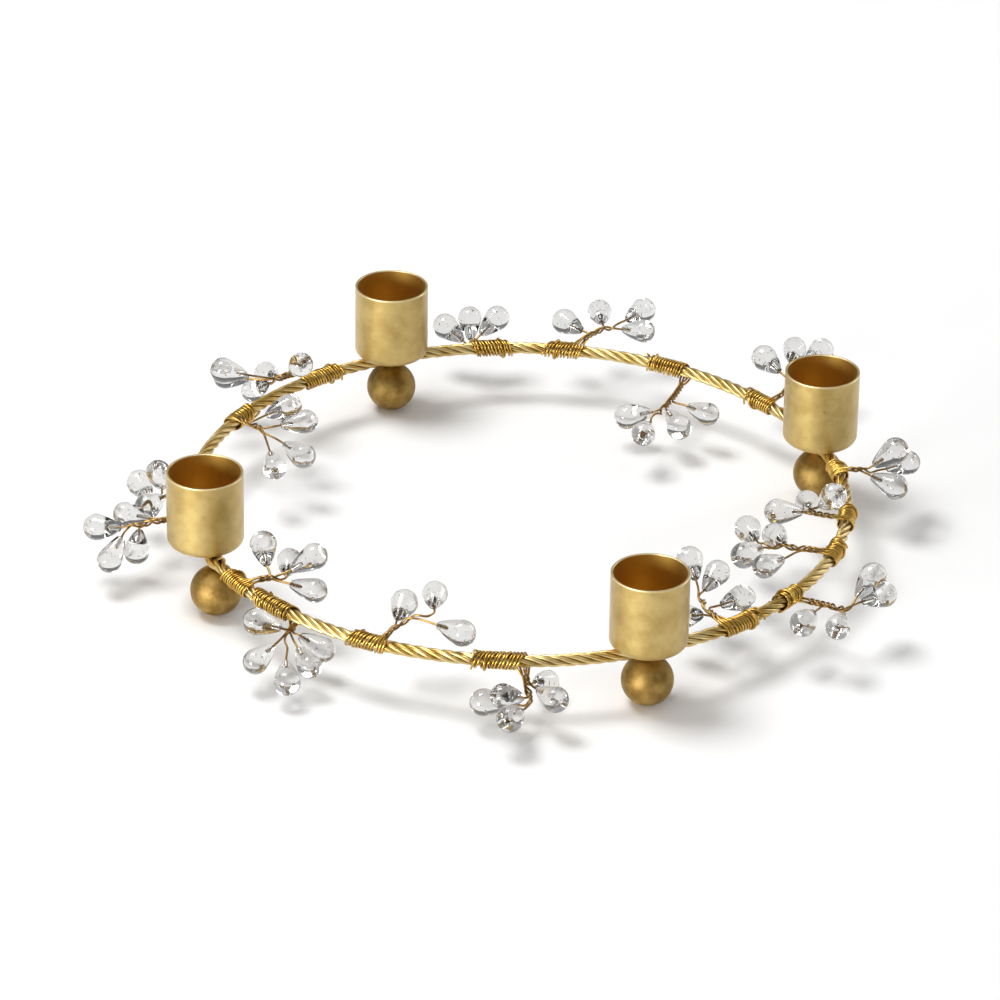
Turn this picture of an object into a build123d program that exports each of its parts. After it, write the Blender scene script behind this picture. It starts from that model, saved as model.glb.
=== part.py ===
from build123d import *
from build123d.topology import SkipClean
import os
from dataclasses import dataclass
from math import acos, atan2, ceil, cos, degrees, floor, hypot, pi, radians, sin, sqrt

import numpy as np

# Candle ring: four cups on ball feet, carried by a ring of twisted wire and dressed with
# sprigs of glass drops. Millimetres, +Z up, origin on the table under the middle of the ring.

# Ring of twisted wire
RING_RADIUS = 103.0
ROPE_DIAMETER = 3.9
RING_HALVES_AT = 45.0

# Candle cups, for a dinner candle
CANDLE_DIAMETER = 22.0
CANDLE_CLEARANCE = 0.1
CUP_WALL = 0.8
CUP_FLOOR = 1.0
CUP_HEIGHT = 24.6
CUP_CORNER = 2.6
CUP_RIM_ROUND = 0.25
CUP_ANGLES = (-1.0, 92.0, 178.5, 270.0)

# Ball feet; the third foot sits a little further round the ring than its cup
FOOT_DIAMETER = 16.0
FOOT_FLAT = 3.0
FOOT_ANGLES = (-1.0, 92.0, 183.5, 270.0)
SEAT_GAP = 0.1

# Rivets from the cups and pegs from the feet, both ending in the ring
RIVET_DIAMETER = 2.0
RIVET_HEAD_DIAMETER = 5.0
RIVET_HEAD_HEIGHT = 1.0
RIVET_DOME = 0.8
PEG_DIAMETER = 2.0
PEG_DEPTH = 6.0
HOLE_CLEARANCE = 0.05
PIN_END_GAP = 0.1

# Sprig wires: wound side by side round the ring, then twisted into a stem
WIRE_DIAMETER = 0.7
WINDING_CLEARANCE = 0.3
TURN_GAP = 0.35
TWIST_GAP = 0.32
TWIST_LEAD = 7.5
GATHER_LENGTH = 5.0
GATHER_SHARE = 0.6
STEM_EASE = 0.45
LEAVE_ANGLE = 40.0

# Glass drops; the bulb sizes follow each other round a sprig
BULB_DIAMETERS = (8.4, 7.8, 8.2, 7.6, 8.0)
DROP_TAPER = 4.3
TIP_DIAMETER = 2.2
DROP_HOLE_CLEARANCE = 0.1
DROP_HOLE_DEPTH = 4.5

# Heights that follow from the sizes above
FOOT_RADIUS = FOOT_DIAMETER / 2
FOOT_CENTRE = sqrt(FOOT_RADIUS**2 - (FOOT_FLAT / 2) ** 2)
FOOT_TOP = FOOT_CENTRE + FOOT_RADIUS
RING_HEIGHT = FOOT_TOP + SEAT_GAP + ROPE_DIAMETER / 2
CUP_BOTTOM = RING_HEIGHT + ROPE_DIAMETER / 2 + SEAT_GAP

# Radii and spacings that follow from the sizes above
BORE_RADIUS = CANDLE_DIAMETER / 2 + CANDLE_CLEARANCE
CUP_RADIUS = BORE_RADIUS + CUP_WALL
WIRE_RADIUS = WIRE_DIAMETER / 2
WINDING_RADIUS = ROPE_DIAMETER / 2 + WINDING_CLEARANCE + WIRE_RADIUS
TURN_PITCH = WIRE_DIAMETER + TURN_GAP
SPRIG_UNIT = RING_RADIUS / 103  # sprigs grow with the ring
STEPS_PER_TURN = 4
GATHER_STEPS = 3
POINTS_PER_ARC = 8
UP = np.array((0.0, 0.0, 1.0))


@dataclass
class Sprig:
    """One sprig. Points are (along the ring, outward, up) from the middle of its winding, in sprig units."""

    at: float  # degrees round the ring
    end: int  # end of the winding that the stem leaves: +1 forward, -1 backward round the ring
    sense: int  # the winding runs to the stem +1 out-up-in or -1 in-up-out
    turns: int  # turns that show
    fork: tuple  # end of the stem
    drops: list  # middle of each bulb, and the share of the stem at which its wire leaves


SPRIGS = [
    Sprig(107.0, 1, -1, 11, (14.5, 5.5, 1.0), [
        ((31.5, 10.5, 8.0), 1.0),
        ((23.5, 20.5, -1.0), 1.0),
        ((7.5, 19.5, -4.5), 0.8),
        ((16.5, 15.0, -6.0), 0.5),
        ((12.0, -5.5, 10.5), 0.2),
    ]),
    Sprig(128.5, 1, 1, 9, (9.5, -19.5, 2.0), [
        ((-8.0, -13.5, 4.0), 0.5),
        ((-2.0, -23.5, 4.0), 0.8),
        ((12.0, -31.0, 0.0), 0.8),
        ((23.5, -27.5, 0.0), 0.8),
    ]),
    Sprig(73.0, 1, -1, 10, (6.0, 4.0, 0.5), [
        ((14.0, 17.0, 0.0), 1.0),
        ((6.0, 15.5, 3.5), 1.0),
        ((-3.0, 14.0, 4.0), 1.0),
    ]),
    Sprig(59.5, -1, -1, 9, (-17.5, 13.0, 4.0), [
        ((2.0, 13.0, 4.0), 0.3),
        ((-8.5, 22.5, 4.0), 0.5),
        ((-23.0, 24.0, 5.0), 1.0),
        ((-25.5, 4.5, 7.0), 0.9),
    ]),
    Sprig(39.5, -1, -1, 12, (-9.0, -28.5, -4.0), [
        ((1.5, -26.0, -7.0), 0.8),
        ((-12.0, -41.0, -3.0), 1.0),
        ((-17.5, -26.0, -6.0), 0.6),
        ((-23.0, -16.5, -4.0), 0.4),
    ]),
    Sprig(18.0, -1, -1, 9, (5.5, 16.5, 3.5), [
        ((14.5, 14.0, 6.0), 0.8),
        ((16.0, 29.0, 4.0), 1.0),
        ((9.5, 35.0, 4.0), 1.0),
    ]),
    Sprig(-11.5, -1, -1, 7, (-4.0, 8.5, 2.0), [
        ((-5.0, 17.0, 9.0), 1.0),
        ((1.0, 23.0, 1.0), 1.0),
        ((-12.5, 15.5, 0.0), 0.8),
    ]),
    Sprig(-28.5, -1, 1, 9, (-0.5, -11.5, 1.5), [
        ((-8.5, -4.0, 12.0), 0.4),
        ((10.5, -13.0, -1.0), 0.8),
        ((-4.5, -21.5, 3.0), 1.0),
    ]),
    Sprig(-41.5, -1, 1, 8, (-6.5, -20.0, 2.0), [
        ((5.5, -29.5, 0.0), 1.0),
        ((4.5, -20.5, 0.0), 0.8),
        ((-16.5, -24.0, 3.0), 0.9),
        ((-22.5, -15.5, 4.0), 0.4),
    ]),
    Sprig(-59.0, 1, 1, 8, (4.0, 19.0, 0.0), [
        ((16.0, 19.5, 7.0), 1.0),
        ((20.5, 21.0, -1.0), 1.0),
        ((-9.5, 11.5, -1.0), 0.5),
        ((-6.5, 22.0, 0.0), 1.0),
    ]),
    Sprig(-72.0, -1, 1, 11, (0.5, -18.0, 2.0), [
        ((7.5, -31.0, 6.0), 1.0),
        ((10.0, -21.0, 5.0), 1.0),
        ((9.0, -8.5, 2.0), 0.4),
        ((-6.0, -17.5, -3.0), 0.4),
    ]),
    Sprig(-115.0, 1, 1, 12, (9.0, 8.5, -9.0), [
        ((-4.5, 9.5, -9.0), 0.8),
        ((1.5, 14.0, -4.0), 0.8),
        ((4.0, 23.5, -6.0), 1.0),
        ((13.5, -9.0, -12.0), 0.5),
        ((17.0, 13.0, -5.0), 0.5),
    ]),
    Sprig(-138.0, 1, 1, 10, (16.0, -7.0, 10.0), [
        ((4.5, -15.0, 7.0), 0.5),
        ((12.5, -19.5, 10.0), 1.0),
        ((29.0, -5.0, 8.0), 1.0),
    ]),
    Sprig(-157.5, 1, 1, 12, (9.5, 3.5, -5.0), [
        ((4.0, 11.5, 1.0), 0.3),
        ((10.0, 17.5, -8.0), 1.0),
        ((23.0, 16.5, -10.0), 1.0),
        ((23.0, 7.5, -8.0), 1.0),
        ((18.5, -2.0, -8.0), 0.6),
    ]),
    Sprig(-167.5, 1, 1, 9, (8.5, -10.5, 3.0), [
        ((-5.0, -11.5, 8.0), 0.5),
        ((0.5, -17.5, 3.0), 0.9),
        ((10.0, -20.5, 8.0), 1.0),
        ((19.0, -15.0, 2.0), 0.8),
    ]),
    Sprig(166.5, 1, -1, 9, (10.0, 22.5, 2.0), [
        ((4.0, 30.0, 0.0), 0.9),
        ((14.0, 27.0, -6.5), 0.9),
        ((6.5, 18.0, -8.0), 0.75),
        ((3.0, 21.0, 3.5), 0.3),
    ]),
    Sprig(155.5, 1, -1, 8, (9.0, 9.0, -1.0), [
        ((-0.5, 16.5, 0.0), 1.0),
        ((13.5, 9.0, 11.5), 1.0),
        ((18.5, 12.0, 2.0), 0.6),
    ]),
]


def unit(v):
    return v / np.linalg.norm(v)


def ring_directions(angle):
    """Outward and forward directions of the ring at an angle in degrees."""
    out = np.array((cos(radians(angle)), sin(radians(angle)), 0.0))
    along = np.array((-out[1], out[0], 0.0))
    return out, along


def sprig_point(sprig, local):
    """A point given as (along, outward, up) from the middle of a sprig's winding."""
    out, along = ring_directions(sprig.at)
    aside, outward, above = (SPRIG_UNIT * part for part in local)
    return along * aside + out * (RING_RADIUS + outward) + UP * (RING_HEIGHT + above)


def ring_pin(angle, radius, bottom, top):
    """An upright round pin at an angle on the ring."""
    out, _ = ring_directions(angle)
    pin = Cylinder(radius, top - bottom, align=(Align.CENTER, Align.CENTER, Align.MIN))
    x, y, _ = out * RING_RADIUS
    return Pos(x, y, bottom) * pin


# Ring


def make_ring():
    """The ring, with holes from above for the rivets and from below for the pegs.

    It is turned in two halves, whose faces stay apart when they are joined.
    """
    middle = (RING_RADIUS, 0, RING_HEIGHT)
    section = Plane(middle, x_dir=(1, 0, 0), z_dir=(0, 1, 0)) * Circle(ROPE_DIAMETER / 2)
    holes = []
    for angle in CUP_ANGLES:
        radius = RIVET_DIAMETER / 2 + HOLE_CLEARANCE
        holes.append(ring_pin(angle, radius, RING_HEIGHT, RING_HEIGHT + ROPE_DIAMETER))
    for angle in FOOT_ANGLES:
        radius = PEG_DIAMETER / 2 + HOLE_CLEARANCE
        holes.append(ring_pin(angle, radius, RING_HEIGHT - ROPE_DIAMETER, RING_HEIGHT))
    with SkipClean():
        half = Rot(0, 0, RING_HALVES_AT) * revolve(section, Axis.Z, 180) - holes
        other = Rot(0, 0, RING_HALVES_AT + 180) * revolve(section, Axis.Z, 180) - holes
        return half + other


# Cups and feet


def make_cup(angle):
    """A drawn cup, rounded at its foot and rim, with a hole for its rivet."""
    on_base = (Align.CENTER, Align.CENTER, Align.MIN)
    outside = Cylinder(CUP_RADIUS, CUP_HEIGHT, align=on_base)
    outside = fillet(outside.edges().sort_by(Axis.Z)[0], CUP_CORNER)
    inside = Pos(0, 0, CUP_FLOOR) * Cylinder(BORE_RADIUS, CUP_HEIGHT, align=on_base)
    inside = fillet(inside.edges().sort_by(Axis.Z)[0], CUP_CORNER - CUP_WALL)
    hole = Cylinder(RIVET_DIAMETER / 2 + HOLE_CLEARANCE, CUP_HEIGHT)
    cup = outside - inside - hole
    rim = cup.edges().group_by(Axis.Z)[-1]
    cup = fillet(rim, CUP_RIM_ROUND)
    x, y, _ = ring_directions(angle)[0] * RING_RADIUS
    return Pos(x, y, CUP_BOTTOM) * cup


def make_foot(angle):
    """A solid ball with a small flat to stand on and a blind hole for its peg."""
    ball = Pos(0, 0, FOOT_CENTRE) * Sphere(FOOT_RADIUS)
    below = Pos(0, 0, -FOOT_RADIUS) * Box(FOOT_DIAMETER, FOOT_DIAMETER, FOOT_DIAMETER)
    x, y, _ = ring_directions(angle)[0] * RING_RADIUS
    hole = ring_pin(angle, PEG_DIAMETER / 2 + HOLE_CLEARANCE, FOOT_TOP - PEG_DEPTH, RING_HEIGHT)
    return Pos(x, y, 0) * (ball - below) - hole


def make_rivet(angle):
    """A low domed head on the cup's floor and a shank that ends inside the ring."""
    seat = CUP_BOTTOM + CUP_FLOOR + SEAT_GAP / 2
    shank = ring_pin(angle, RIVET_DIAMETER / 2, RING_HEIGHT + PIN_END_GAP, seat)
    head = ring_pin(angle, RIVET_HEAD_DIAMETER / 2, seat, seat + RIVET_HEAD_HEIGHT)
    head = fillet(head.edges().sort_by(Axis.Z)[-1], RIVET_HEAD_HEIGHT * RIVET_DOME)
    return shank + head


def make_peg(angle):
    """A plain peg from the ball's hole up into the ring."""
    bottom = FOOT_TOP - PEG_DEPTH + PIN_END_GAP
    return ring_pin(angle, PEG_DIAMETER / 2, bottom, RING_HEIGHT - PIN_END_GAP)


# Sprig wires: each wire is a list of stations, a point and a direction, joined by pairs of arcs


def winding_station(sprig, shift, angle, lead):
    """Point and direction on a winding, at a distance along the ring and an angle round it."""
    out, along = ring_directions(sprig.at + degrees(shift / RING_RADIUS))
    spoke = out * cos(angle) + UP * sin(angle)
    point = out * RING_RADIUS + UP * RING_HEIGHT + spoke * WINDING_RADIUS
    round_it = (UP * cos(angle) - out * sin(angle)) * sprig.sense
    heading = round_it * WINDING_RADIUS + along * (sprig.end * lead / (2 * pi))
    return point, unit(heading)


class Stem:
    """The middle line of a sprig's stem, a parabola from the winding to the fork and straight on."""

    def __init__(self, sprig):
        count = len(sprig.drops)
        lead = count * TURN_PITCH
        half = (sprig.turns + count - 1) * TURN_PITCH / 2
        middle = sprig.end * (half - (count - 1) * TURN_PITCH / 2)
        fork_angle = atan2(sprig.fork[2], sprig.fork[1])
        self.leave_angle = fork_angle - sprig.sense * pi / 2
        self.first_shift = half
        self.lead = lead
        self.start, heading = winding_station(sprig, middle, self.leave_angle, lead)
        self.fork = sprig_point(sprig, sprig.fork)
        reach = np.linalg.norm(self.fork - self.start)
        self.bend = self.start + heading * reach * STEM_EASE
        self.side = ring_directions(sprig.at)[1] * sprig.end
        self.share = np.linspace(0, 1, 101)
        line = [self.parabola(t) for t in self.share]
        steps = np.linalg.norm(np.diff(line, axis=0), axis=1)
        self.run = np.concatenate(([0.0], np.cumsum(steps)))
        self.length = self.run[-1]
        self.gather = min(GATHER_LENGTH, self.length * GATHER_SHARE)

    def parabola(self, t):
        return self.start * (1 - t) ** 2 + self.bend * (2 * t * (1 - t)) + self.fork * t**2

    def frame(self, distance):
        """Point, direction and two cross directions at a distance along the stem."""
        t = float(np.interp(distance, self.run, self.share))
        heading = unit((self.bend - self.start) * (1 - t) + (self.fork - self.bend) * t)
        point = self.parabola(t) + heading * max(0.0, distance - self.length)
        across = unit(self.side - heading * (self.side @ heading))
        return point, heading, across, np.cross(heading, across)

    def twist(self, distance):
        """Angle that the wires have turned through; the twist sets in while they gather."""
        if distance < self.gather:
            return 2 * pi * distance**3 / (3 * self.gather**2) / TWIST_LEAD
        return 2 * pi * (distance - self.gather * 2 / 3) / TWIST_LEAD

    def lane_point(self, distance, row, first_angle, radius):
        """Point of one wire, which moves from its place in the row to its lane in the twist."""
        point, _, across, over = self.frame(distance)
        angle = first_angle + self.twist(distance)
        share = min(distance / self.gather, 1.0)
        gathered = share**2 * (3 - 2 * share)
        spoke = (across * cos(angle) + over * sin(angle)) * radius
        return point + across * (row * (1 - gathered)) + spoke * gathered

    def lane(self, distance, row, first_angle, radius):
        """Point and direction of one wire at a distance along the stem."""
        near = [self.lane_point(distance + d, row, first_angle, radius) for d in (-0.01, 0.0, 0.01)]
        return near[1], unit(near[2] - near[0])


def lane_angles(count):
    """Angles of the wires round the stem, in the order in which they lie side by side."""
    angles = [-(90 + 360 * k) / count for k in range(count)]
    return sorted((radians(a) for a in angles), key=cos, reverse=True)


def leaving_distance(stem, bulb, share, first_angle):
    """Where a wire leaves the stem: near its share of the length, on the side of its bulb."""
    near = max(share * stem.length, stem.gather)
    point, _, across, over = stem.frame(near)
    towards = bulb - point
    wanted = atan2(towards @ over, towards @ across) - radians(LEAVE_ANGLE)
    angle = first_angle + stem.twist(near)
    turn = ((wanted - angle) / (2 * pi) + 0.5) % 1 - 0.5
    distance = near + turn * TWIST_LEAD
    if distance < stem.gather:
        distance += TWIST_LEAD
    return distance


def wire_stations(sprig, stem, index, bulb_radius):
    """Stations of one wire, from its cut end in the winding to its end inside the drop."""
    count = len(sprig.drops)
    first_angle = lane_angles(count)[index]
    radius = (WIRE_DIAMETER + TWIST_GAP) / (2 * sin(pi / count))
    wound = sprig.turns / count
    steps = ceil(wound * STEPS_PER_TURN)
    stations = []
    for step in range(steps + 1):
        back = wound * (1 - step / steps)
        angle = stem.leave_angle - sprig.sense * 2 * pi * back
        shift = sprig.end * (stem.first_shift - TURN_PITCH * index - stem.lead * back)
        stations.append(winding_station(sprig, shift, angle, stem.lead))
    local, share = sprig.drops[index]
    bulb = sprig_point(sprig, local)
    leave = leaving_distance(stem, bulb, share, first_angle)
    row = TURN_PITCH * ((count - 1) / 2 - index)
    twist_steps = max(1, floor((leave - stem.gather) * STEPS_PER_TURN / TWIST_LEAD))
    distances = [stem.gather * step / GATHER_STEPS for step in range(1, GATHER_STEPS)]
    distances += list(np.linspace(stem.gather, leave, twist_steps + 1))
    for distance in distances:
        stations.append(stem.lane(distance, row, first_angle, radius))
    axis = unit(bulb - stem.frame(leave)[0])
    mouth = bulb - axis * (bulb_radius + DROP_TAPER)
    stations.append((mouth, axis))
    stations.append((mouth + axis * (DROP_HOLE_DEPTH - PIN_END_GAP), axis))
    return stations, bulb, axis


def arc_pair(start, end):
    """Two arcs that join two stations smoothly: their start, first direction and end."""
    (p, u), (q, v) = start, end
    span = q - p
    both = u + v
    bend = 2 * (1 - u @ v)
    if bend < 1e-9:
        reach = (span @ span) / (2 * (span @ both))
    else:
        reach = (sqrt((span @ both) ** 2 + bend * (span @ span)) - span @ both) / bend
    first, second = p + u * reach, q - v * reach
    middle = (first + second) / 2
    return (p, u, middle), (middle, unit(second - first), q)


def arc_points(p, u, q):
    """Points along the arc that starts at p in direction u and ends at q, and its radius."""
    chord = q - p
    length = np.linalg.norm(chord)
    side = chord - u * (chord @ u)
    sine = np.linalg.norm(side) / length
    if sine < 1e-6:
        return [p + chord * t for t in np.linspace(0, 1, POINTS_PER_ARC)], np.inf
    radius = length / (2 * sine)
    normal = unit(side)
    turn = 2 * atan2(sine, (chord @ u) / length)
    angles = np.linspace(0, turn, POINTS_PER_ARC)
    return [p + u * (radius * sin(a)) + normal * (radius * (1 - cos(a))) for a in angles], radius


def make_wire(stations):
    """A round wire swept through its stations, with points along it and its tightest bend."""
    edges, points, bends = [], [], []
    for start, end in zip(stations, stations[1:]):
        for p, u, q in arc_pair(start, end):
            more, radius = arc_points(p, u, q)
            straight = radius > 1000 * WIRE_DIAMETER
            edge = Edge.make_line(tuple(p), tuple(q))
            if not straight:
                edge = Edge.make_tangent_arc(tuple(p), tuple(u), tuple(q))
            edges.append(edge)
            points.extend(more)
            bends.append(radius)
    point, heading = stations[0]
    section = Plane(tuple(point), z_dir=tuple(heading)) * Circle(WIRE_RADIUS)
    return sweep(section, path=Wire(edges)), np.array(points), min(bends)


def gap_to_itself(points):
    """Least gap between stretches of one wire that lie more than four diameters apart along it."""
    run = np.concatenate(([0.0], np.cumsum(np.linalg.norm(np.diff(points, axis=0), axis=1))))
    apart = np.abs(run[:, None] - run[None, :]) > 4 * WIRE_DIAMETER
    distance = np.linalg.norm(points[:, None] - points[None, :], axis=2)
    return distance[apart].min() - WIRE_DIAMETER


def gap_between(points, others):
    return np.linalg.norm(points[:, None] - others[None, :], axis=2).min() - WIRE_DIAMETER


# Glass drops


def make_drop(bulb, axis, bulb_radius):
    """A teardrop: a round bulb, a straight taper to its tip, and a blind hole for the wire."""
    tip_radius = TIP_DIAMETER / 2
    tip = bulb_radius + DROP_TAPER
    touch = atan2(tip, tip_radius) - acos(bulb_radius / hypot(tip_radius, tip))
    shoulder = (bulb_radius * cos(touch), bulb_radius * sin(touch))
    side = (bulb_radius * cos(touch / 2 - pi / 4), bulb_radius * sin(touch / 2 - pi / 4))
    outline = [
        Edge.make_three_point_arc((0, -bulb_radius), side, shoulder),
        Edge.make_line(shoulder, (tip_radius, tip)),
        Edge.make_line((tip_radius, tip), (0, tip)),
        Edge.make_line((0, tip), (0, -bulb_radius)),
    ]
    drop = revolve(Plane.XZ * make_face(outline), Axis.Z)
    hole_radius = WIRE_RADIUS + DROP_HOLE_CLEARANCE
    hole = Pos(0, 0, tip - DROP_HOLE_DEPTH / 2) * Cylinder(hole_radius, DROP_HOLE_DEPTH)
    return Plane(tuple(bulb), z_dir=tuple(-axis)) * (drop - hole)


def make_sprig(sprig):
    """The wires and drops of one sprig, with what was measured on the wires."""
    stem = Stem(sprig)
    wires, drops, lines, bends = [], [], [], []
    for index in range(len(sprig.drops)):
        bulb_radius = BULB_DIAMETERS[index] / 2
        stations, bulb, axis = wire_stations(sprig, stem, index, bulb_radius)
        wire, points, bend = make_wire(stations)
        wires.append(wire)
        drops.append(make_drop(bulb, axis, bulb_radius))
        lines.append(points)
        bends.append(bend)
    to_itself = min(gap_to_itself(line) for line in lines)
    pairs = [(a, b) for a in range(len(lines)) for b in range(a)]
    to_others = min(gap_between(lines[a], lines[b]) for a, b in pairs)
    return wires, drops, (to_itself, to_others, min(bends))


def write(name, solids):
    export_step(Compound(label=name, children=solids), f"parts/{name}.step")


def main():
    os.makedirs("parts", exist_ok=True)
    write("ring", [make_ring()])
    for number, angle in enumerate(CUP_ANGLES, 1):
        write(f"candle_cup_{number}", [make_cup(angle)])
    for number, angle in enumerate(FOOT_ANGLES, 1):
        write(f"ball_foot_{number}", [make_foot(angle)])
    write("cup_rivets", [make_rivet(angle) for angle in CUP_ANGLES])
    write("foot_pegs", [make_peg(angle) for angle in FOOT_ANGLES])
    for number, sprig in enumerate(SPRIGS, 1):
        wires, drops, (to_itself, to_others, bend) = make_sprig(sprig)
        write(f"sprig_{number:02d}_wires", wires)
        write(f"sprig_{number:02d}_drops", drops)
        print(
            f"sprig {number}: least gap of a wire to itself {to_itself:.2f} mm,"
            f" to the others {to_others:.2f} mm, tightest bend {bend:.2f} mm"
        )


main()
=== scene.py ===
from dataclasses import dataclass
from math import acos, atan2, ceil, cos, degrees, hypot, pi, radians, sin, sqrt

import bpy
import numpy as np
from mathutils import Matrix, Vector


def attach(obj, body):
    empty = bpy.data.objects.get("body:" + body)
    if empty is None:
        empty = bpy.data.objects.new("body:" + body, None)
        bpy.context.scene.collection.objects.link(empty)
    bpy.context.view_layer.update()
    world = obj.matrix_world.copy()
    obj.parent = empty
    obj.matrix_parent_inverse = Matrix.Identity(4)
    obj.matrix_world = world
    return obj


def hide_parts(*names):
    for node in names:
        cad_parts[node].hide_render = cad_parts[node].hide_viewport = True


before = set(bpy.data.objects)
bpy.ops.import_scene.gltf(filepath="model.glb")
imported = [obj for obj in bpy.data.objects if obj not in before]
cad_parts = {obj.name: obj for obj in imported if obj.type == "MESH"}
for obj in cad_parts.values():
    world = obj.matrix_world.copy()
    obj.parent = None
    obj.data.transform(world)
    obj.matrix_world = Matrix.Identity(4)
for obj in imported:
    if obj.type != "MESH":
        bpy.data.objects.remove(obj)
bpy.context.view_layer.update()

# Candle ring: brass cups and ball feet on a ring of twisted wire, dressed with sprigs of glass drops.
# Sizes are in millimetres, as in the part's source; meshes are in metres.
MM = 0.001

# Ring, cups and feet
RING_RADIUS = 103.0
ROPE_DIAMETER = 3.9
FOOT_RADIUS = 8.0
FOOT_FLAT = 3.0
SEAT_GAP = 0.1
CUP_ANGLES = (-1.0, 92.0, 178.5, 270.0)
FOOT_ANGLES = (-1.0, 92.0, 183.5, 270.0)
BORE_RADIUS = 11.1
CUP_HEIGHT = 24.6
FOOT_CENTRE = sqrt(FOOT_RADIUS**2 - (FOOT_FLAT / 2) ** 2)
RING_HEIGHT = FOOT_CENTRE + FOOT_RADIUS + SEAT_GAP + ROPE_DIAMETER / 2
CUP_BOTTOM = RING_HEIGHT + ROPE_DIAMETER / 2 + SEAT_GAP
CUP_TOP = CUP_BOTTOM + CUP_HEIGHT

# Strands of the ring: laid round a core, parted and a little flattened where a rivet or peg goes in
STRANDS = 5
STRAND_RADIUS = 0.71
CORE_RADIUS = 0.55
LAY_RADIUS = 1.23
LAY_TURNS = 30
STRAND_POINTS = 720
PARTING_LENGTH = 5.5
PARTING_WIDTH = 1.05
PARTING_FLATNESS = 0.12

# Sprig wires
WIRE_RADIUS = 0.35
WINDING_CLEARANCE = 0.3
WINDING_RADIUS = ROPE_DIAMETER / 2 + WINDING_CLEARANCE + WIRE_RADIUS
WOUND_RADIUS = 2.42
TURN_GAP = 0.35
TURN_PITCH = 2 * WIRE_RADIUS + TURN_GAP
TWIST_GAP = 0.32
TWIST_LEAD = 7.5
GATHER_LENGTH = 5.0
GATHER_SHARE = 0.6
STEM_EASE = 0.45
LEAVE_ANGLE = 40.0

# Looseness of a winding: its turns lean, wander and lift, the wires' cut ends stand off,
# and the first wire's end crosses over the other turns
LARGEST_LEAN = 0.9
WANDER = 0.1
QUICK_WANDER = 5.1
SLOW_WANDER = 2.3
TURN_LIFT = 0.12
TURN_LIFT_RATE = 3.3
SETTLING_TURNS = 0.4
CUT_END_TURNS = 0.12
CUT_END_LIFT = 0.5
CROSSING_TURNS = 0.9
CROSSING_PITCHES = 3.2
CROSSING_LIFT = 0.66
CROSSING_RISE = 3

# Fineness of the wires
POINTS_PER_TURN = 20
STEM_SAMPLES = 101
STEM_STEP = 0.45
FEWEST_STEM_POINTS = 6
BRANCH_POINTS = 14
HOLE_POINTS = 5
WIRE_ROUNDNESS = 3

# Glass drops
BULB_DIAMETERS = (8.4, 7.8, 8.2, 7.6, 8.0)
DROP_TAPER = 4.3
TIP_RADIUS = 1.1
HOLE_CLEARANCE = 0.1
HOLE_RADIUS = WIRE_RADIUS + HOLE_CLEARANCE
HOLE_DEPTH = 4.5
WIRE_END_GAP = 0.1
DROP_SIDES = 32
BULB_POINTS = 22
TAPER_SHARES = (0.2, 0.4, 0.6, 0.8, 0.95)
TAPER_SWELL = 1.0
LIP_WIDTH = 0.3
LIP_CORNER_WIDTH = 0.12
LIP_CORNER_HEIGHT = 0.06
HOLE_FLARE = 0.12
RIDGES = 11
RIDGED_LENGTH = 4.0
FIRST_RIDGE = 0.1
RIDGE_OUT = 0.09
RIDGE_IN = 0.03
RIDGE_LENGTH = 0.18
HOLE_END_SHARE = 0.8
HOLE_END_HEIGHT = 0.1
CREASE_ANGLE = 50.0
MERGE_DISTANCE = 0.001

# Seed bubbles in the glass: their distances from the middle are shares of the bulb's radius
BUBBLES_PER_DROP = 20
BUBBLE_SHARES = (0.45, 0.88)
BUBBLE_RADII = (0.07, 0.2)
BUBBLE_SIDES = 8
BUBBLE_RINGS = 5

# Where the finishes change, from none to full: out from a bore, down from a rim, out from the ring's line
INSIDE_BAND = (0.4, 0.15)
# the rim band also places a painted highlight along the cups' rims
RIM_BAND = (0.55, 0.2)
# the groove band places painted shade in the grooves between the ring's strands
GROOVE_SHADE_BAND = (1.55, 1.15)
WOUND_BAND = (4.6, 3.0)
# the hidden band places painted shade on the turns' inner side, against the ring
HIDDEN_SHADE_BAND = (2.75, 2.3)

# Camera of the photograph, with its angles in degrees
CAMERA_PLACE = (-576.4, -1391.6, 832.9)
CAMERA_YAW = 22.2752
CAMERA_PITCH = 28.4606
CAMERA_ROLL = 0.8636
LENS_LENGTH = 196.4
SENSOR_WIDTH = 36.0

# Studio, in metres and watts: each light has a place, a width and height, and a power
FLOOR_SIZE = 8.0
FLOOR_LEVEL = -0.0001
LIGHTS = {
    "key": ((-1.3, -0.7, 0.2), (0.5, 0.4), 18.5),
    "edge": ((1.2, 0.16, 0.4), (0.4, 0.8), 3.0),
    "top": ((-0.5, 0.5, 1.7), (0.8, 0.8), 24.0),
}
LIGHT_AIM = (0.0, 0.0, 0.02)
SKY_GREYS = ((0.3, 0.24), (0.95, 1.0))
SKY_STRENGTH = 0.6

UP = np.array((0.0, 0.0, 1.0))


@dataclass
class Sprig:
    """One sprig. Points are (along the ring, outward, up) from the middle of its winding."""

    at: float  # degrees round the ring
    end: int  # end of the winding that the stem leaves: +1 forward, -1 backward round the ring
    sense: int  # the winding runs to the stem +1 out-up-in or -1 in-up-out
    turns: int  # turns that show
    fork: tuple  # end of the stem
    drops: list  # middle of each bulb, and the share of the stem at which its wire leaves


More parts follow.
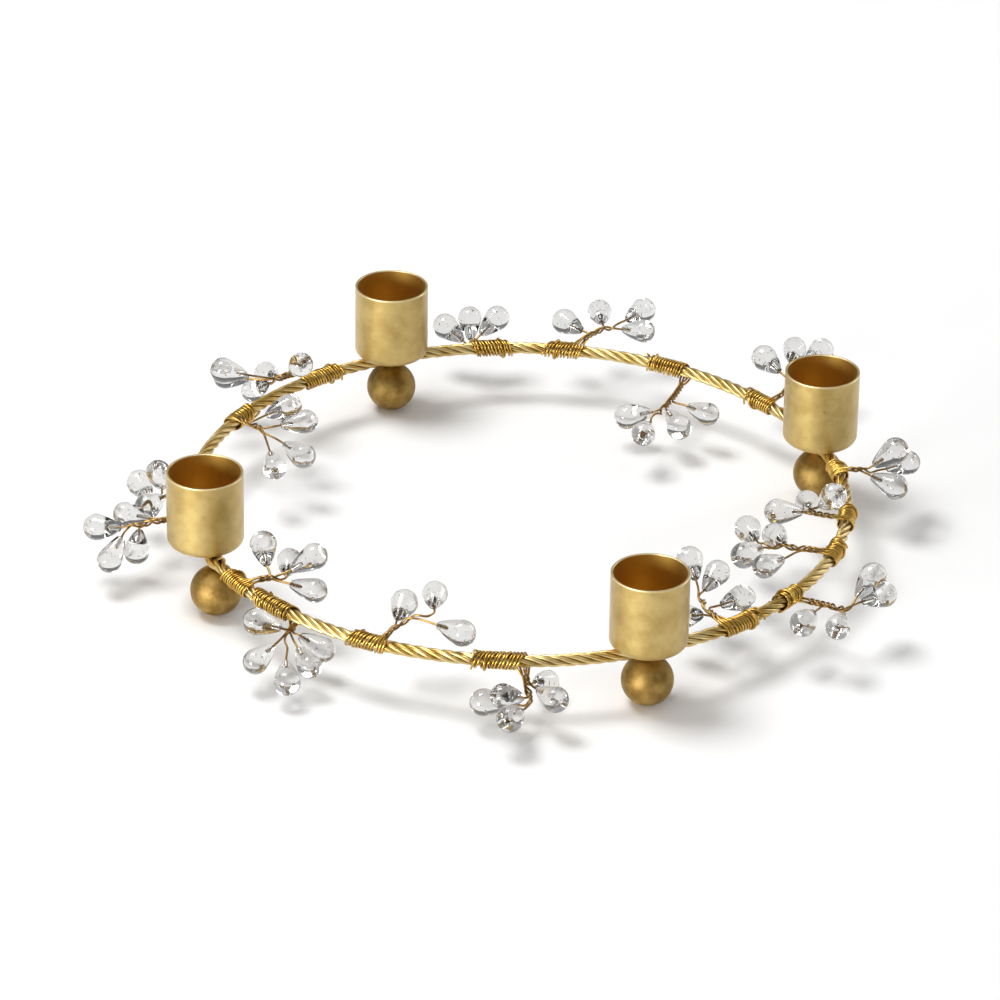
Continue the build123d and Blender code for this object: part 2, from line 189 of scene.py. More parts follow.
SPRIGS = [
    Sprig(107.0, 1, -1, 11, (14.5, 5.5, 1.0), [
        ((31.5, 10.5, 8.0), 1.0),
        ((23.5, 20.5, -1.0), 1.0),
        ((7.5, 19.5, -4.5), 0.8),
        ((16.5, 15.0, -6.0), 0.5),
        ((12.0, -5.5, 10.5), 0.2),
    ]),
    Sprig(128.5, 1, 1, 9, (9.5, -19.5, 2.0), [
        ((-8.0, -13.5, 4.0), 0.5),
        ((-2.0, -23.5, 4.0), 0.8),
        ((12.0, -31.0, 0.0), 0.8),
        ((23.5, -27.5, 0.0), 0.8),
    ]),
    Sprig(73.0, 1, -1, 10, (6.0, 4.0, 0.5), [
        ((14.0, 17.0, 0.0), 1.0),
        ((6.0, 15.5, 3.5), 1.0),
        ((-3.0, 14.0, 4.0), 1.0),
    ]),
    Sprig(59.5, -1, -1, 9, (-17.5, 13.0, 4.0), [
        ((2.0, 13.0, 4.0), 0.3),
        ((-8.5, 22.5, 4.0), 0.5),
        ((-23.0, 24.0, 5.0), 1.0),
        ((-25.5, 4.5, 7.0), 0.9),
    ]),
    Sprig(39.5, -1, -1, 12, (-9.0, -28.5, -4.0), [
        ((1.5, -26.0, -7.0), 0.8),
        ((-12.0, -41.0, -3.0), 1.0),
        ((-17.5, -26.0, -6.0), 0.6),
        ((-23.0, -16.5, -4.0), 0.4),
    ]),
    Sprig(18.0, -1, -1, 9, (5.5, 16.5, 3.5), [
        ((14.5, 14.0, 6.0), 0.8),
        ((16.0, 29.0, 4.0), 1.0),
        ((9.5, 35.0, 4.0), 1.0),
    ]),
    Sprig(-11.5, -1, -1, 7, (-4.0, 8.5, 2.0), [
        ((-5.0, 17.0, 9.0), 1.0),
        ((1.0, 23.0, 1.0), 1.0),
        ((-12.5, 15.5, 0.0), 0.8),
    ]),
    Sprig(-28.5, -1, 1, 9, (-0.5, -11.5, 1.5), [
        ((-8.5, -4.0, 12.0), 0.4),
        ((10.5, -13.0, -1.0), 0.8),
        ((-4.5, -21.5, 3.0), 1.0),
    ]),
    Sprig(-41.5, -1, 1, 8, (-6.5, -20.0, 2.0), [
        ((5.5, -29.5, 0.0), 1.0),
        ((4.5, -20.5, 0.0), 0.8),
        ((-16.5, -24.0, 3.0), 0.9),
        ((-22.5, -15.5, 4.0), 0.4),
    ]),
    Sprig(-59.0, 1, 1, 8, (4.0, 19.0, 0.0), [
        ((16.0, 19.5, 7.0), 1.0),
        ((20.5, 21.0, -1.0), 1.0),
        ((-9.5, 11.5, -1.0), 0.5),
        ((-6.5, 22.0, 0.0), 1.0),
    ]),
    Sprig(-72.0, -1, 1, 11, (0.5, -18.0, 2.0), [
        ((7.5, -31.0, 6.0), 1.0),
        ((10.0, -21.0, 5.0), 1.0),
        ((9.0, -8.5, 2.0), 0.4),
        ((-6.0, -17.5, -3.0), 0.4),
    ]),
    Sprig(-115.0, 1, 1, 12, (9.0, 8.5, -9.0), [
        ((-4.5, 9.5, -9.0), 0.8),
        ((1.5, 14.0, -4.0), 0.8),
        ((4.0, 23.5, -6.0), 1.0),
        ((13.5, -9.0, -12.0), 0.5),
        ((17.0, 13.0, -5.0), 0.5),
    ]),
    Sprig(-138.0, 1, 1, 10, (16.0, -7.0, 10.0), [
        ((4.5, -15.0, 7.0), 0.5),
        ((12.5, -19.5, 10.0), 1.0),
        ((29.0, -5.0, 8.0), 1.0),
    ]),
    Sprig(-157.5, 1, 1, 12, (9.5, 3.5, -5.0), [
        ((4.0, 11.5, 1.0), 0.3),
        ((10.0, 17.5, -8.0), 1.0),
        ((23.0, 16.5, -10.0), 1.0),
        ((23.0, 7.5, -8.0), 1.0),
        ((18.5, -2.0, -8.0), 0.6),
    ]),
    Sprig(-167.5, 1, 1, 9, (8.5, -10.5, 3.0), [
        ((-5.0, -11.5, 8.0), 0.5),
        ((0.5, -17.5, 3.0), 0.9),
        ((10.0, -20.5, 8.0), 1.0),
        ((19.0, -15.0, 2.0), 0.8),
    ]),
    Sprig(166.5, 1, -1, 9, (10.0, 22.5, 2.0), [
        ((4.0, 30.0, 0.0), 0.9),
        ((14.0, 27.0, -6.5), 0.9),
        ((6.5, 18.0, -8.0), 0.75),
        ((3.0, 21.0, 3.5), 0.3),
    ]),
    Sprig(155.5, 1, -1, 8, (9.0, 9.0, -1.0), [
        ((-0.5, 16.5, 0.0), 1.0),
        ((13.5, 9.0, 11.5), 1.0),
        ((18.5, 12.0, 2.0), 0.6),
    ]),
]


# Shared helpers


def unit(v):
    """A vector of length 1 in the same direction."""
    return v / np.linalg.norm(v)


def ring_directions(angle):
    """Outward and forward directions of the ring at an angle in degrees."""
    out = np.array((cos(radians(angle)), sin(radians(angle)), 0.0))
    return out, np.array((-out[1], out[0], 0.0))


def sprig_point(sprig, local):
    """A point given as (along, outward, up) from the middle of a sprig's winding."""
    out, along = ring_directions(sprig.at)
    return along * local[0] + out * (RING_RADIUS + local[1]) + UP * (RING_HEIGHT + local[2])


def smooth(t):
    """Smooth rise from 0 to 1 while t goes from 0 to 1."""
    t = min(max(t, 0.0), 1.0)
    return t * t * (3 - 2 * t)


def pick(piece):
    """Selects one piece alone and makes it active."""
    bpy.ops.object.select_all(action="DESELECT")
    piece.select_set(True)
    bpy.context.view_layer.objects.active = piece


def tubes(name, lines, radius, cyclic=False):
    """Round wires along lines of points, as one mesh."""
    curve = bpy.data.curves.new(name, "CURVE")
    curve.dimensions = "3D"
    curve.bevel_depth = radius * MM
    curve.bevel_resolution = WIRE_ROUNDNESS
    curve.use_fill_caps = not cyclic
    for line in lines:
        spline = curve.splines.new("POLY")
        spline.points.add(len(line) - 1)
        with_weight = np.column_stack((np.array(line) * MM, np.ones(len(line))))
        spline.points.foreach_set("co", with_weight.ravel())
        spline.use_cyclic_u = cyclic
    piece = bpy.data.objects.new(name, curve)
    bpy.context.collection.objects.link(piece)
    pick(piece)
    bpy.ops.object.convert(target="MESH")
    piece = bpy.context.active_object
    bpy.ops.object.shade_smooth()
    return piece


def join(pieces, name):
    """Joins pieces into the first of them."""
    pick(pieces[0])
    for piece in pieces:
        piece.select_set(True)
    bpy.ops.object.join()
    pieces[0].name = name
    return pieces[0]


def dress(piece, body, slot, material, *nodes):
    """Gives a new piece its body, its finish and the nodes that it stands for; the slot is not used."""
    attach(piece, body)
    if nodes:
        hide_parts(*nodes)
    piece.data.materials.clear()
    piece.data.materials.append(material)


# Finishes


def linear(code):
    """A colour written as six hex digits, in linear light."""
    parts = [int(code[k : k + 2], 16) / 255 for k in (0, 2, 4)]
    return [p / 12.92 if p <= 0.04045 else ((p + 0.055) / 1.055) ** 2.4 for p in parts] + [1.0]


class Value:
    """A socket with a number, whose arithmetic adds Math nodes."""

    def __init__(self, nodes, socket):
        self.nodes = nodes
        self.socket = socket

    def math(self, operation, *inputs):
        """The result of a Math node on these inputs."""
        node = self.nodes.node("ShaderNodeMath", {"operation": operation}, dict(enumerate(inputs)))
        return Value(self.nodes, node.outputs[0])

    def __add__(self, other):
        return self.math("ADD", self, other)

    def __sub__(self, other):
        return self.math("SUBTRACT", self, other)

    def __rsub__(self, other):
        return self.math("SUBTRACT", other, self)

    def __mul__(self, other):
        return self.math("MULTIPLY", self, other)

    __radd__ = __add__
    __rmul__ = __mul__

    def root(self):
        """Square root."""
        return self.math("SQRT", self)

    def rise(self, low, high):
        """0 below low, 1 above high, smooth between; high may be under low."""
        sockets = {"Value": self, "From Min": low, "From Max": high}
        node = self.nodes.node("ShaderNodeMapRange", {"interpolation_type": "SMOOTHSTEP"}, sockets)
        return Value(self.nodes, node.outputs["Result"])


class Nodes:
    """A tree of nodes, of a material or of the studio's light."""

    def __init__(self, tree):
        self.tree = tree

    def node(self, kind, settings=None, sockets=None):
        """A new node: its settings are set first, then the values or links of its sockets."""
        node = self.tree.nodes.new(kind)
        for key, value in (settings or {}).items():
            if key == "stops":
                ramp = node.color_ramp.elements
                while len(ramp) < len(value):
                    ramp.new(0.5)
                for element, (position, colour) in zip(ramp, value):
                    element.position = position
                    element.color = colour
            else:
                setattr(node, key, value)
        for key, value in (sockets or {}).items():
            self.set(node.inputs[key], value)
        return node

    def set(self, socket, value):
        """Links a socket to a value or another socket, or gives it a plain value."""
        if isinstance(value, Value):
            value = value.socket
        if isinstance(value, bpy.types.NodeSocket):
            self.tree.links.new(value, socket)
        else:
            socket.default_value = value


class Finish(Nodes):
    """A material in the making, with its shader and its surface coordinates in millimetres."""

    def __init__(self, name):
        self.material = bpy.data.materials.new(name)
        self.material.use_nodes = True
        super().__init__(self.material.node_tree)
        self.shader = next(n for n in self.tree.nodes if n.type == "BSDF_PRINCIPLED")
        place = self.node("ShaderNodeTexCoord").outputs["Object"]
        scaled = self.node("ShaderNodeVectorMath", {"operation": "SCALE"}, {0: place, "Scale": 1 / MM})
        self.place = scaled.outputs[0]

    def surface(self, **values):
        """Sets sockets of the shader, named with _ for a space."""
        for key, value in values.items():
            self.set(self.shader.inputs[key.replace("_", " ")], value)

    def axes(self, origin):
        """The three coordinates from an origin."""
        moved = self.node("ShaderNodeVectorMath", {"operation": "SUBTRACT"}, {0: self.place, 1: origin})
        split = self.node("ShaderNodeSeparateXYZ", {}, {0: moved.outputs[0]})
        return [Value(self, s) for s in split.outputs]

    def from_ring_line(self):
        """Distance from the middle line of the ring."""
        x, y, z = self.axes((0.0, 0.0, RING_HEIGHT))
        off = (x * x + y * y).root() - RING_RADIUS
        return (off * off + z * z).root()

    def noise(self, scale, detail, roughness=0.55):
        """Noise with a scale per millimetre."""
        sockets = {"Vector": self.place, "Scale": scale, "Detail": detail, "Roughness": roughness}
        return Value(self, self.node("ShaderNodeTexNoise", {}, sockets).outputs["Fac"])

    def mix(self, factor, first, second):
        """Colour between two colours, each given as six hex digits or a socket."""
        node = self.node("ShaderNodeMix", {"data_type": "RGBA"})
        colours = [s for s in node.inputs if s.type == "RGBA"]
        self.set(node.inputs[0], factor)
        for socket, colour in zip(colours, (first, second)):
            self.set(socket, linear(colour) if isinstance(colour, str) else colour)
        return next(s for s in node.outputs if s.type == "RGBA")

    def bump(self, height, strength, distance):
        """Gives the shader a fine relief, with its depth in millimetres."""
        sockets = {"Height": height, "Strength": strength, "Distance": distance * MM}
        self.surface(Normal=self.node("ShaderNodeBump", {}, sockets).outputs[0])


def cup_brass(number):
    """Satin brass of one cup: mottled, a rim polished by wear with a painted highlight on it, a warmer
    inside and a few dark pits.
    """
    finish = Finish(f"cup_brass_{number}")
    centre = ring_directions(CUP_ANGLES[number - 1])[0] * RING_RADIUS
    x, y, z = finish.axes(tuple(centre))
    radial = (x * x + y * y).root()
    inside = radial.rise(*(BORE_RADIUS + out for out in INSIDE_BAND))
    # Rim band: its paler colour is a painted highlight along the top edge, its lower roughness the polish
    # of wear
    rim_wear_and_highlight = z.rise(*(CUP_TOP - down for down in RIM_BAND))
    cloud = finish.noise(0.16, 4.0)
    grain = finish.noise(3.5, 2.0)
    pits = finish.noise(0.8, 1.0).rise(0.77, 0.8)
    colour = finish.mix(cloud.rise(0.25, 0.75), "B19552", "C9B06F")
    colour = finish.mix(inside * 0.85, colour, "DEB658")
    colour = finish.mix(rim_wear_and_highlight, colour, "EBD6A0")
    colour = finish.mix(pits * 0.6, colour, "6B4A1C")
    finish.surface(Base_Color=colour, Metallic=1.0, Coat_Weight=0.6, Coat_Roughness=0.25)
    finish.surface(Roughness=cloud * 0.1 + grain * 0.1 + 0.4 - rim_wear_and_highlight * 0.1)
    finish.bump(grain + pits * -0.6, 0.18, 0.03)
    return finish.material


def foot_brass():
    """Satin brass of the ball feet, a little darker and with soft stains."""
    finish = Finish("foot_brass")
    cloud = finish.noise(0.2, 5.0, 0.6)
    grain = finish.noise(3.0, 2.0)
    stain = finish.noise(0.09, 2.0).rise(0.52, 0.7)
    pits = finish.noise(0.9, 1.0).rise(0.74, 0.78)
    colour = finish.mix(cloud.rise(0.3, 0.7), "8A6A2E", "BA9C58")
    colour = finish.mix(stain * 0.5, colour, "80601F")
    colour = finish.mix(pits * 0.6, colour, "4E3712")
    finish.surface(Base_Color=colour, Metallic=1.0, Coat_Weight=0.2, Coat_Roughness=0.4)
    finish.surface(Roughness=cloud * 0.12 + grain * 0.08 + 0.5)
    finish.bump(grain + pits * -0.6, 0.16, 0.03)
    return finish.material


def ring_gold():
    """Pale bright gold of the ring's strands, with painted shade in the grooves where they touch each
    other.
    """
    finish = Finish("ring_gold")
    cloud = finish.noise(0.12, 3.0)
    grain = finish.noise(2.5, 2.0)
    # painted shade: the strands darken towards the ring's middle line, in the grooves between them
    groove_shade = finish.from_ring_line().rise(*GROOVE_SHADE_BAND)
    colour = finish.mix(cloud.rise(0.3, 0.7), "BE994A", "EAD498")
    colour = finish.mix(groove_shade * 0.9, colour, "603E10")
    finish.surface(Base_Color=colour, Metallic=1.0)
    finish.surface(Roughness=cloud * 0.14 + grain * 0.08 + 0.24)
    finish.bump(grain, 0.1, 0.02)
    return finish.material


def sprig_bronze():
    """Soft drawn wire: rich gold where it is wound on the ring, bronze on the stems, with painted shade
    on the turns' inner side against the ring.
    """
    finish = Finish("sprig_bronze")
    depth = finish.from_ring_line()
    wound = depth.rise(*WOUND_BAND)
    # painted shade: the wound turns darken on their inner side, where they lie on the ring's strands
    hidden_shade = depth.rise(*HIDDEN_SHADE_BAND)
    tint = finish.noise(0.22, 3.0)
    grain = finish.noise(4.0, 2.0)
    stem = finish.mix(tint.rise(0.3, 0.7), "80602F", "B39056")
    turn = finish.mix(tint.rise(0.3, 0.7), "BA8E38", "E2BC62")
    colour = finish.mix(wound, stem, turn)
    colour = finish.mix(hidden_shade * wound * 0.9, colour, "5A3208")
    finish.surface(Base_Color=colour, Metallic=1.0)
    finish.surface(Roughness=tint * 0.14 + grain * 0.06 + 0.2)
    return finish.material


def drop_glass():
    """Clear glass, very slightly uneven."""
    finish = Finish("drop_glass")
    ripple = finish.noise(0.35, 2.0)
    finish.surface(Base_Color=(0.78, 0.775, 0.765, 1.0), Roughness=0.0, IOR=1.52)
    finish.surface(Transmission_Weight=1.0)
    finish.bump(ripple, 0.4, 0.16)
    return finish.material


def bubble_silver():
    """Seed bubbles, which mirror what is round them."""
    finish = Finish("bubble_silver")
    shade = finish.noise(0.6, 1.0)
    finish.surface(Base_Color=finish.mix(shade, "C9CBCC", "F4F6F6"), Metallic=1.0, Roughness=0.08)
    return finish.material


def pin_brass():
    """Plain brass of the rivets and pegs."""
    finish = Finish("pin_brass")
    cloud = finish.noise(0.5, 3.0)
    finish.surface(Base_Color=finish.mix(cloud, "8A6428", "B18C48"), Metallic=1.0)
    finish.surface(Roughness=cloud * 0.15 + 0.3)
    return finish.material


def floor_white():
    """Matt white paper."""
    finish = Finish("floor_white")
    shade = finish.noise(0.004, 2.0)
    finish.surface(Base_Color=finish.mix(shade, "F2F2F2", "F6F6F6"), Roughness=0.9)
    return finish.material


# Ring of twisted wire


def parting(angle):
    """How far the strands part at an angle round the ring: 1 at a rivet or peg, 0 between."""
    nearest = min(abs((angle - a + 180) % 360 - 180) for a in CUP_ANGLES + FOOT_ANGLES)
    away = radians(nearest) * RING_RADIUS / PARTING_LENGTH
    return 0.0 if away >= 1 else (1 - away * away) ** 2


def strand_line(index, lay_radius):
    """One strand of the lay; with no lay radius, the core."""
    line = []
    for step in range(STRAND_POINTS):
        turn = step / STRAND_POINTS
        out, _ = ring_directions(360 * turn)
        part = parting(360 * turn)
        lay = 2 * pi * (index / STRANDS - LAY_TURNS * turn)
        across, over = lay_radius * cos(lay), lay_radius * sin(lay)
        side = across + part * (PARTING_WIDTH if across >= 0 else -PARTING_WIDTH)
        rise = over * (1 - PARTING_FLATNESS * part)
        line.append(out * (RING_RADIUS + side) + UP * (RING_HEIGHT + rise))
    return line


def make_ring(material):
    """The strands and the core of the ring, in one piece."""
    lay = [strand_line(k, LAY_RADIUS) for k in range(STRANDS)]
    strands = tubes("ring_strands", lay, STRAND_RADIUS, cyclic=True)
    core = tubes("ring_core", [strand_line(0, 0.0)], CORE_RADIUS, cyclic=True)
    dress(join([strands, core], "ring_strands"), "ring_with_cups", "ring_wire", material, "ring")


# Sprig wires


def winding_point(sprig, shift, angle, radius):
    """Point of a winding, at a distance along the ring and an angle round it."""
    out, _ = ring_directions(sprig.at + degrees(shift / RING_RADIUS))
    return out * (RING_RADIUS + radius * cos(angle)) + UP * (RING_HEIGHT + radius * sin(angle))


class Stem:
    """The middle line of a sprig's stem, a parabola from the winding to the fork and straight on."""

    def __init__(self, sprig):
        count = len(sprig.drops)
        self.lead = count * TURN_PITCH
        half = (sprig.turns + count - 1) * TURN_PITCH / 2
        middle = sprig.end * (half - (count - 1) * TURN_PITCH / 2)
        self.leave_angle = atan2(sprig.fork[2], sprig.fork[1]) - sprig.sense * pi / 2
        self.first_shift = half
        self.start = winding_point(sprig, middle, self.leave_angle, WINDING_RADIUS)
        out, along = ring_directions(sprig.at + degrees(middle / RING_RADIUS))
        round_it = (UP * cos(self.leave_angle) - out * sin(self.leave_angle)) * sprig.sense
        heading = unit(round_it * WINDING_RADIUS + along * (sprig.end * self.lead / (2 * pi)))
        self.fork = sprig_point(sprig, sprig.fork)
        self.bend = self.start + heading * np.linalg.norm(self.fork - self.start) * STEM_EASE
        self.side = ring_directions(sprig.at)[1] * sprig.end
        self.share = np.linspace(0, 1, STEM_SAMPLES)
        line = [self.parabola(t) for t in self.share]
        steps = np.linalg.norm(np.diff(line, axis=0), axis=1)
        self.run = np.concatenate(([0.0], np.cumsum(steps)))
        self.length = self.run[-1]
        self.gather = min(GATHER_LENGTH, self.length * GATHER_SHARE)

    def parabola(self, t):
        """Point of the parabola, from 0 at the winding to 1 at the fork."""
        return self.start * (1 - t) ** 2 + self.bend * (2 * t * (1 - t)) + self.fork * t**2

    def frame(self, distance):
        """Point, direction and two cross directions at a distance along the stem."""
        t = float(np.interp(distance, self.run, self.share))
        heading = unit((self.bend - self.start) * (1 - t) + (self.fork - self.bend) * t)
        point = self.parabola(t) + heading * max(0.0, distance - self.length)
        across = unit(self.side - heading * (self.side @ heading))
        return point, heading, across, np.cross(heading, across)

    def twist(self, distance):
        """Angle that the wires have turned through; the twist sets in while they gather."""
        if distance < self.gather:
            return 2 * pi * distance**3 / (3 * self.gather**2) / TWIST_LEAD
        return 2 * pi * (distance - self.gather * 2 / 3) / TWIST_LEAD

    def lane_point(self, distance, row, first_angle, radius):
        """Point of one wire, which moves from its place in the row to its lane in the twist."""
        point, _, across, over = self.frame(distance)
        angle = first_angle + self.twist(distance)
        gathered = smooth(distance / self.gather)
        spoke = (across * cos(angle) + over * sin(angle)) * radius
        return point + across * (row * (1 - gathered)) + spoke * gathered


def lane_angles(count):
    """Angles of the wires round the stem, in the order in which they lie side by side."""
    angles = [-(90 + 360 * k) / count for k in range(count)]
    return sorted((radians(a) for a in angles), key=cos, reverse=True)


def leaving_distance(stem, bulb, share, first_angle):
    """Where a wire leaves the stem: near its share of the length, on the side of its bulb."""
    near = max(share * stem.length, stem.gather)
    point, _, across, over = stem.frame(near)
    towards = bulb - point
    wanted = atan2(towards @ over, towards @ across) - radians(LEAVE_ANGLE)
    turn = ((wanted - first_angle - stem.twist(near)) / (2 * pi) + 0.5) % 1 - 0.5
    distance = near + turn * TWIST_LEAD
    return distance + TWIST_LEAD if distance < stem.gather else distance


def eased(start, heading, end, towards, count):
    """Points of a smooth bend between two points with their directions."""
    reach = np.linalg.norm(end - start)
    line = []
    for t in np.linspace(0, 1, count)[1:]:
        line.append(
            start * (2 * t**3 - 3 * t**2 + 1)
            + heading * reach * (t**3 - 2 * t**2 + t)
            + end * (3 * t**2 - 2 * t**3)
            + towards * reach * (t**3 - t**2)
        )
    return line


def winding_line(sprig, stem, index, lean, phase):
    """The loose turns of one wire, from its cut end to where it goes over into the stem."""
    count = len(sprig.drops)
    wound = (sprig.turns + count - 1 - index) / count
    steps = ceil(wound * POINTS_PER_TURN)
    line = []
    for step in range(steps):
        back = wound * (1 - step / steps)
        angle = stem.leave_angle - sprig.sense * 2 * pi * back
        settled = max(0.0, 1 - back / SETTLING_TURNS)
        along = stem.first_shift - TURN_PITCH * index - stem.lead * back
        along += WANDER * (sin(QUICK_WANDER * back + phase) + sin(SLOW_WANDER * back + 3 * phase))
        if index == 0:
            tail = smooth(1 - (wound - back) / CROSSING_TURNS)
            along += TURN_PITCH * CROSSING_PITCHES * tail
            lift = CROSSING_LIFT * smooth(tail * CROSSING_RISE)
        else:
            lift = CUT_END_LIFT * smooth(1 - (wound - back) / CUT_END_TURNS)
        lift += TURN_LIFT * max(0.0, sin(TURN_LIFT_RATE * back + 2 * phase))
        shift = sprig.end * along + lean * sin(angle - stem.leave_angle) * (1 - settled)
        radius = WOUND_RADIUS + (WINDING_RADIUS - WOUND_RADIUS) * settled + lift
        line.append(winding_point(sprig, shift, angle, radius))
    return line


def wire_line(sprig, stem, index, lean, rng):
    """One wire, from its cut end in the winding to its end inside the drop, and the drop's place."""
    count = len(sprig.drops)
    line = winding_line(sprig, stem, index, lean, rng.uniform(0, 2 * pi))
    local, share = sprig.drops[index]
    bulb = sprig_point(sprig, local)
    first_angle = lane_angles(count)[index]
    lane_radius = (2 * WIRE_RADIUS + TWIST_GAP) / (2 * sin(pi / count))
    leave = leaving_distance(stem, bulb, share, first_angle)
    row = TURN_PITCH * ((count - 1) / 2 - index)
    for distance in np.linspace(0, leave, max(FEWEST_STEM_POINTS, ceil(leave / STEM_STEP))):
        line.append(stem.lane_point(distance, row, first_angle, lane_radius))
    axis = unit(bulb - stem.frame(leave)[0])
    mouth = bulb - axis * (BULB_DIAMETERS[index] / 2 + DROP_TAPER)
    heading = unit(line[-1] - line[-2])
    line += eased(line[-1], heading, mouth, axis, BRANCH_POINTS)
    depths = np.linspace(0, HOLE_DEPTH - WIRE_END_GAP, HOLE_POINTS)
    line += [mouth + axis * depth for depth in depths[1:]]
    return line, bulb, axis


# Glass drops


def drop_outline(bulb_radius):
    """Half outline of a drop, tip up: a round bulb, a swelling taper, a soft lip and a ridged hole."""
    tip = bulb_radius + DROP_TAPER
    touch = atan2(tip, TIP_RADIUS) - acos(bulb_radius / hypot(TIP_RADIUS, tip))
    outline = [(0.0, -bulb_radius)]
    for angle in np.linspace(-pi / 2, touch, BULB_POINTS)[1:]:
        outline.append((bulb_radius * cos(angle), bulb_radius * sin(angle)))
    shoulder = outline[-1]
    for share in TAPER_SHARES:
        radius = shoulder[0] + (TIP_RADIUS - shoulder[0]) * share + TAPER_SWELL * share * (1 - share)
        outline.append((radius, shoulder[1] + (tip - shoulder[1]) * share))
    outline.append((TIP_RADIUS - LIP_CORNER_WIDTH, tip - LIP_CORNER_HEIGHT))
    outline.append((TIP_RADIUS - LIP_WIDTH, tip))
    outline.append((HOLE_RADIUS + HOLE_FLARE, tip))
    for ridge in range(RIDGES):
        height = tip - FIRST_RIDGE - RIDGED_LENGTH * ridge / RIDGES
        outline.append((HOLE_RADIUS + RIDGE_OUT, height))
        outline.append((HOLE_RADIUS - RIDGE_IN, height - RIDGE_LENGTH))
    outline.append((HOLE_RADIUS * HOLE_END_SHARE, tip - HOLE_DEPTH + HOLE_END_HEIGHT))
    outline.append((0.0, tip - HOLE_DEPTH))
    return outline


def make_drop(bulb_radius):
    """A drop with its bulb at the origin and its tip up, turned from its half outline."""
    bpy.ops.object.select_all(action="DESELECT")
    bpy.ops.mesh.primitive_plane_add(size=MM)
    drop = bpy.context.active_object
    bpy.ops.object.mode_set(mode="EDIT")
    bpy.ops.mesh.select_all(action="SELECT")
    bpy.ops.mesh.merge(type="CENTER")
    bpy.ops.object.mode_set(mode="OBJECT")
    outline = drop_outline(bulb_radius)
    drop.data.vertices[0].co = Vector((outline[0][0], 0, outline[0][1])) * MM
    bpy.ops.object.mode_set(mode="EDIT")
    bpy.ops.mesh.select_all(action="SELECT")
    for (r0, z0), (r1, z1) in zip(outline, outline[1:]):
        move = ((r1 - r0) * MM, 0, (z1 - z0) * MM)
        bpy.ops.mesh.extrude_region_move(TRANSFORM_OT_translate={"value": move})
    bpy.ops.object.mode_set(mode="OBJECT")
    turn = drop.modifiers.new("turn", "SCREW")
    turn.steps = turn.render_steps = DROP_SIDES
    turn.use_merge_vertices = True
    turn.merge_threshold = MERGE_DISTANCE * MM
    bpy.ops.object.modifier_apply(modifier="turn")
    bpy.ops.object.mode_set(mode="EDIT")
    bpy.ops.mesh.select_all(action="SELECT")
    bpy.ops.mesh.remove_doubles(threshold=MERGE_DISTANCE * MM)
    bpy.ops.mesh.normals_make_consistent(inside=False)
    bpy.ops.object.mode_set(mode="OBJECT")
    bpy.ops.object.shade_smooth_by_angle(angle=radians(CREASE_ANGLE))
    return drop


def make_bubble():
    """A ball with a radius of one millimetre, which is scaled for each bubble."""
    bpy.ops.object.select_all(action="DESELECT")
    bpy.ops.mesh.primitive_uv_sphere_add(segments=BUBBLE_SIDES, ring_count=BUBBLE_RINGS, radius=MM)
    bpy.ops.object.shade_smooth()
    return bpy.context.active_object


def copied(pattern, place):
    """A copy of a pattern with its own mesh, moved to its place in the mesh."""
    piece = pattern.copy()
    piece.data = pattern.data.copy()
    piece.data.transform(place)
    bpy.context.collection.objects.link(piece)
    return piece


def pointing(axis, origin):
    """Matrix that sets +Z along an axis at a point."""
    turn = Vector(axis).to_track_quat("Z", "Y").to_matrix().to_4x4()
    return Matrix.Translation(Vector(origin) * MM) @ turn


def seed_bubbles(pattern, bulb, bulb_radius, rng):
    """Small bubbles scattered through one bulb."""
    bubbles = []
    for _ in range(BUBBLES_PER_DROP):
        place = bulb + unit(rng.normal(size=3)) * bulb_radius * rng.uniform(*BUBBLE_SHARES)
        size = Matrix.Scale(rng.uniform(*BUBBLE_RADII), 4)
        bubbles.append(copied(pattern, pointing(UP, place) @ size))
    return bubbles


def make_sprigs(wire_finish, glass_finish, bubble_finish):
    """Wires, drops and bubbles of each sprig, one piece of each for a sprig."""
    patterns = [make_drop(diameter / 2) for diameter in BULB_DIAMETERS]
    bubble = make_bubble()
    for number, sprig in enumerate(SPRIGS, 1):
        rng = np.random.default_rng(number)
        body = f"sprig_{number:02d}"
        stem = Stem(sprig)
        lean = rng.uniform(-LARGEST_LEAN, LARGEST_LEAN)
        lines, drops, bubbles = [], [], []
        for index in range(len(sprig.drops)):
            line, bulb, axis = wire_line(sprig, stem, index, lean, rng)
            lines.append(line)
            drops.append(copied(patterns[index], pointing(-axis, bulb)))
            bubbles += seed_bubbles(bubble, bulb, BULB_DIAMETERS[index] / 2, rng)
        wires = tubes(f"{body}_wire_runs", lines, WIRE_RADIUS)
        dress(wires, body, "sprig_wire", wire_finish, f"{body}_wires")
        dress(join(drops, f"{body}_glass"), body, "glass", glass_finish, f"{body}_drops")
        dress(join(bubbles, f"{body}_bubbles"), body, "glass", bubble_finish)
    for pattern in patterns + [bubble]:
        bpy.data.objects.remove(pattern)


# Cups, feet, rivets and pegs keep their solids and get their finishes


def finish_node(name, material):
    """Gives a node of the frame its finish."""
    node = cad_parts[name]
    node.data.materials.clear()
    node.data.materials.append(material)


def finish_solids():
    """Each cup has a brass of its own, because its finish is set out from the cup's middle."""
    feet = foot_brass()
    for number in range(1, len(CUP_ANGLES) + 1):
        finish_node(f"candle_cup_{number}", cup_brass(number))
        finish_node(f"ball_foot_{number}", feet)
    pins = pin_brass()
    finish_node("cup_rivets", pins)
    finish_node("foot_pegs", pins)


# Floor, light and camera


def make_floor():
    """A white floor, just clear of the feet."""
    bpy.ops.object.select_all(action="DESELECT")
    bpy.ops.mesh.primitive_plane_add(size=FLOOR_SIZE)
    floor = bpy.context.active_object
    floor.data.transform(Matrix.Translation((0.0, 0.0, FLOOR_LEVEL)))
    floor.name = "floor"
    floor.data.materials.append(floor_white())


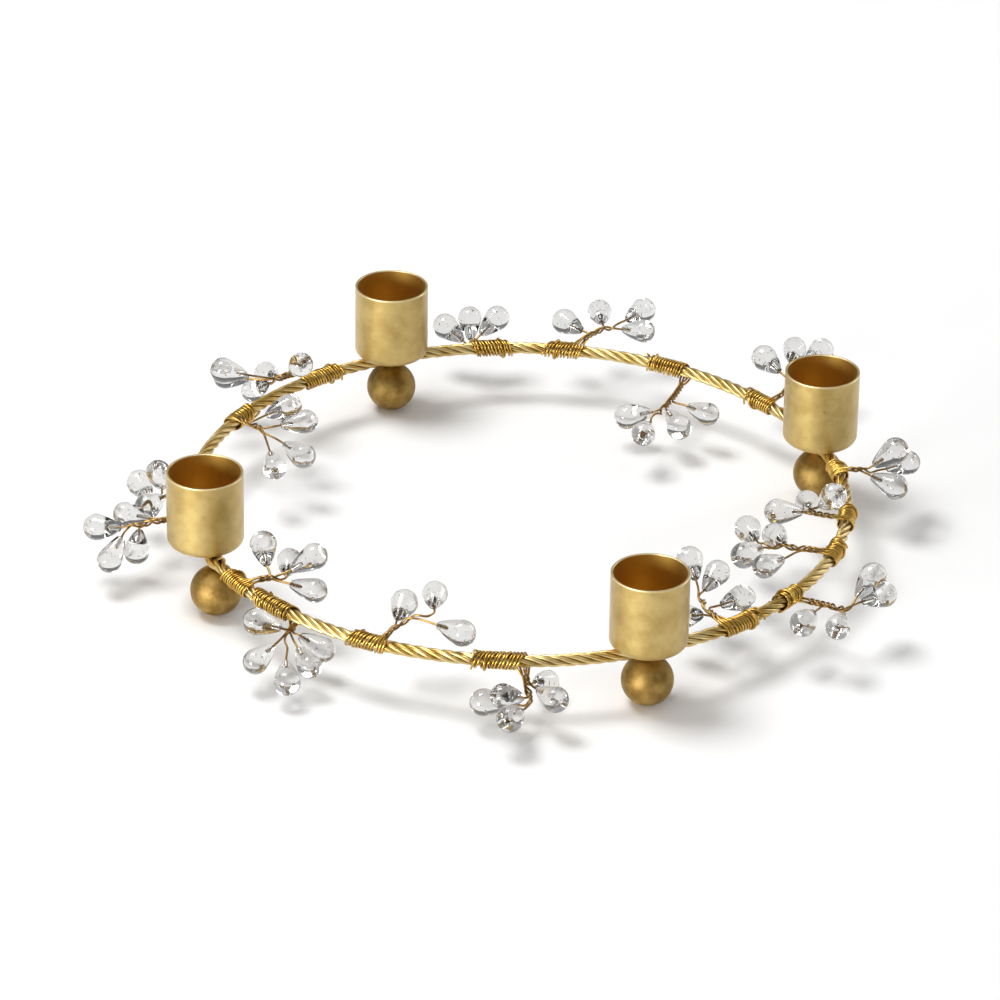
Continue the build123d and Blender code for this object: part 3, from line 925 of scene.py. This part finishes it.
def add_light(name, place, size, power):
    """A flat light that faces the ring."""
    light = bpy.data.lights.new(name, "AREA")
    light.shape = "RECTANGLE"
    light.size, light.size_y = size
    light.energy = power
    lamp = bpy.data.objects.new(name, light)
    lamp.location = place
    lamp.rotation_euler = (Vector(LIGHT_AIM) - Vector(place)).to_track_quat("-Z", "Y").to_euler()
    bpy.context.collection.objects.link(lamp)


def make_light():
    """A sky that is bright above and grey at the sides, and the studio's lights."""
    world = bpy.data.worlds.new("studio")
    world.use_nodes = True
    nodes = Nodes(world.node_tree)
    direction = nodes.node("ShaderNodeTexCoord").outputs["Generated"]
    height = nodes.node("ShaderNodeSeparateXYZ", {}, {0: direction}).outputs["Z"]
    stops = [(position, (grey, grey, grey, 1.0)) for position, grey in SKY_GREYS]
    shade = nodes.node("ShaderNodeValToRGB", {"stops": stops}, {0: height}).outputs["Color"]
    sky = world.node_tree.nodes["Background"].inputs
    nodes.set(sky["Color"], shade)
    nodes.set(sky["Strength"], SKY_STRENGTH)
    bpy.context.scene.world = world
    bpy.context.scene.view_settings.view_transform = "Standard"
    for name, (place, size, power) in LIGHTS.items():
        add_light(name, place, size, power)


def make_camera():
    """The photograph's view: a long lens, looking down at the ring and turned a little."""
    camera = bpy.data.cameras.new("photo_view")
    camera.sensor_fit = "HORIZONTAL"
    camera.sensor_width = SENSOR_WIDTH
    camera.lens = LENS_LENGTH
    view = bpy.data.objects.new("photo_view", camera)
    yaw, pitch, roll = radians(CAMERA_YAW), radians(CAMERA_PITCH), radians(CAMERA_ROLL)
    ahead = Vector((sin(yaw) * cos(pitch), cos(yaw) * cos(pitch), -sin(pitch)))
    right = Vector((cos(yaw), -sin(yaw), 0.0))
    above = right.cross(ahead)
    across = right * cos(roll) + above * sin(roll)
    upward = above * cos(roll) - right * sin(roll)
    place = Vector(CAMERA_PLACE) * MM
    view.matrix_world = Matrix.Translation(place) @ Matrix((across, upward, -ahead)).transposed().to_4x4()
    bpy.context.collection.objects.link(view)
    bpy.context.scene.camera = view


make_camera()
make_light()
make_floor()
make_ring(ring_gold())
make_sprigs(sprig_bronze(), drop_glass(), bubble_silver())
finish_solids()
